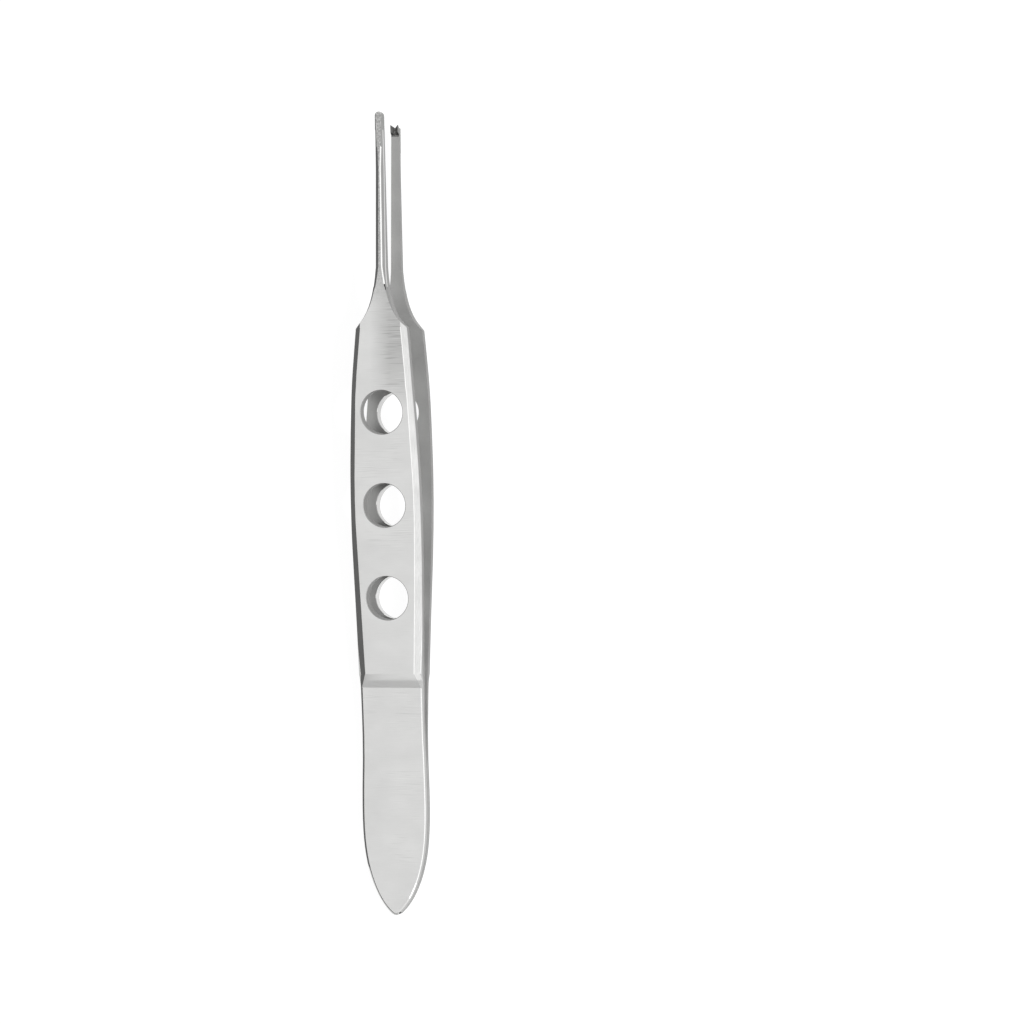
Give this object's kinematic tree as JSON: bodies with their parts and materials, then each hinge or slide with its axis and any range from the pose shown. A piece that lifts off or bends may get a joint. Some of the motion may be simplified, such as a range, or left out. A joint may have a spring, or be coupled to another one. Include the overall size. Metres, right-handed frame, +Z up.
{
  "type": "ophthalmic tissue forceps",
  "caption": "Fine eye-surgery tissue forceps: two sprung arms with three round grip holes, slender shanks and interlocking teeth, welded at a leaf-shaped tail.",
  "frame": {"origin": "middle of the outline's box on the surface that the forceps lies on", "axes": "+Y along the instrument from its tail to its toothed tips, +X across it, +Z up; the one-tooth arm is the upper one"},
  "size_m": [0.0078, 0.0856, 0.0083],
  "materials": {
    "satin_steel": "satin, brushed across"
  },
  "bodies": {
    "tail": {"welded_tail": "satin_steel"},
    "upper_arm": {"one_tooth_arm": "satin_steel"},
    "lower_arm": {"two_tooth_arm": "satin_steel"}
  },
  "joints": [
    {"name": "upper_arm_flex", "type": "hinge", "parent": "tail", "child": "upper_arm", "pos_m": [0, -0.02616, 0.00152], "axis": [-1, 0, 0], "range_deg": [0, 1.95], "stiffness_Nm_per_rad": 3.9},
    {"name": "lower_arm_flex", "type": "hinge", "parent": "tail", "child": "lower_arm", "pos_m": [0, -0.02616, 0.00152], "axis": [1, 0, 0], "range_deg": [0, 1.95], "stiffness_Nm_per_rad": 3.9}
  ]
}
